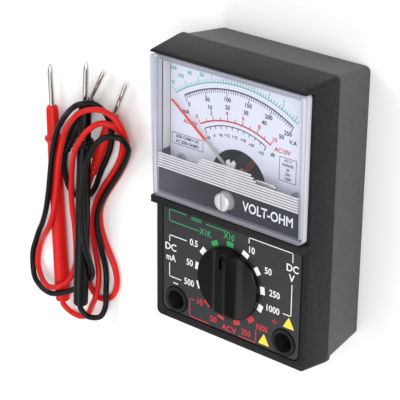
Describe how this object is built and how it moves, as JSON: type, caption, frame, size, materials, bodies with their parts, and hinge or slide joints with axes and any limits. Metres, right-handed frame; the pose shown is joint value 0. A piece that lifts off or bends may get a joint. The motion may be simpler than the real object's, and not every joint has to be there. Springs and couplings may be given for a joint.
{
  "type": "analog multimeter",
  "caption": "Pocket analog multimeter with a pointer dial under a clear window, a rotary range knob, two jacks and a pair of corded test leads.",
  "frame": {"origin": "centre of the case's flat back, on the table it lies on", "axes": "+X to the right of someone reading the dial, +Y from the knob towards the dial, +Z out of the front"},
  "size_m": [0.1592, 0.1365, 0.0364],
  "materials": {
    "black_abs": "moulded black ABS, fine spark texture",
    "gloss_black": "moulded glossy black",
    "clear": "clear injection-moulded styrene",
    "mask": "black printed film",
    "panel": "dark grey plate, screen printed in white, green, red and yellow",
    "dial": "white enamelled sheet with printed scales",
    "steel": "zinc plated steel",
    "iron": "soft iron and magnet alloy",
    "copper": "enamelled copper wire",
    "brass": "turned brass",
    "needle": "red lacquered aluminium tube, bare near the hub",
    "white_plastic": "moulded white nylon",
    "base_plastic": "phenolic moulding",
    "rotor_plastic": "moulded acetal",
    "board": "solder-masked phenolic laminate",
    "pot_blue": "moulded blue body",
    "resistor": "lacquered film resistor",
    "ceramic": "ceramic body",
    "fuse_glass": "glass tube",
    "cell_wrap": "printed steel jacket",
    "wire_red": "PVC insulation",
    "wire_black": "PVC insulation",
    "probe_red": "moulded red",
    "probe_black": "moulded black",
    "pin": "nickel plated brass",
    "cord_red": "PVC insulation",
    "cord_black": "PVC insulation"
  },
  "bodies": {
    "case": {"front_shell": "black_abs", "rear_shell": "black_abs", "window_cover": "clear", "mask_strip": "mask", "panel_plate": "panel", "case_screw_lower": "steel", "case_screw_upper": "steel", "dial_plate": "dial", "dial_screw_left": "steel", "dial_screw_right": "steel", "movement_base": "base_plastic", "yoke": "iron", "front_bridge": "steel", "bridge_screw_left": "steel", "bridge_screw_right": "steel", "jewel_front": "brass", "jewel_rear": "brass", "detent_ball": "steel", "detent_spring": "steel", "adjust_pot": "pot_blue", "circuit_board": "board", "board_screw_left": "steel", "board_screw_right": "steel", "jack_socket_negative": "brass", "jack_socket_positive": "brass", "resistor_1": "resistor", "resistor_2": "resistor", "resistor_3": "resistor", "shunt": "ceramic", "fuse": "fuse_glass", "fuse_clip_left": "steel", "fuse_clip_right": "steel", "cell": "cell_wrap", "cell_contact": "steel", "cell_spring": "steel", "cell_wire_positive": "wire_red", "cell_wire_negative": "wire_black"},
    "selector": {"knob": "gloss_black", "rotor": "rotor_plastic", "wiper_inner": "brass", "wiper_outer": "brass"},
    "needle_group": {"pointer": "needle", "moving_coil": "copper", "staff_front": "steel", "staff_rear": "steel"},
    "zero_adjuster": {"zero_screw": "steel"},
    "zero_arm": {"zero_lever": "white_plastic", "hairspring": "brass"},
    "ohm_wheel": {"adjust_wheel": "black_abs"},
    "test_leads": {"probe_red": "probe_red", "probe_tip_red": "pin", "plug_red": "probe_red", "plug_pin_red": "pin", "cord_red": "cord_red", "probe_black": "probe_black", "probe_tip_black": "pin", "plug_black": "probe_black", "plug_pin_black": "pin", "cord_black": "cord_black"}
  },
  "joints": [
    {"name": "range_selector", "type": "hinge", "parent": "case", "child": "selector", "pos_m": [0, -0.027, 0.031], "axis": [0, 0, -1], "continuous": true},
    {"name": "needle_swing", "type": "hinge", "parent": "case", "child": "needle_group", "pos_m": [0, 0.01, 0.028], "axis": [0, 0, -1], "range_deg": [0, 104], "stiffness_Nm_per_rad": 0.000002},
    {"name": "zero_screw_turn", "type": "hinge", "parent": "case", "child": "zero_adjuster", "pos_m": [0, 0.0035, 0.034], "axis": [0, 0, 1], "range_deg": [-60, 60]},
    {"name": "zero_arm_shift", "type": "hinge", "parent": "case", "child": "zero_arm", "pos_m": [0, 0.01, 0.031], "axis": [0, 0, 1], "range_deg": [-11, 11]},
    {"name": "ohm_wheel_turn", "type": "hinge", "parent": "case", "child": "ohm_wheel", "pos_m": [-0.0258, -0.017, 0.0225], "axis": [0, 0, 1], "range_deg": [-140, 140]},
    {"name": "leads_lift_away", "type": "slide", "parent": "case", "child": "test_leads", "axis": [0, 0, 1], "range_m": [0, 0.05]}
  ],
  "couplings": [
    {"joint": "zero_arm_shift", "follows": "zero_screw_turn", "ratio": -0.1818}
  ]
}
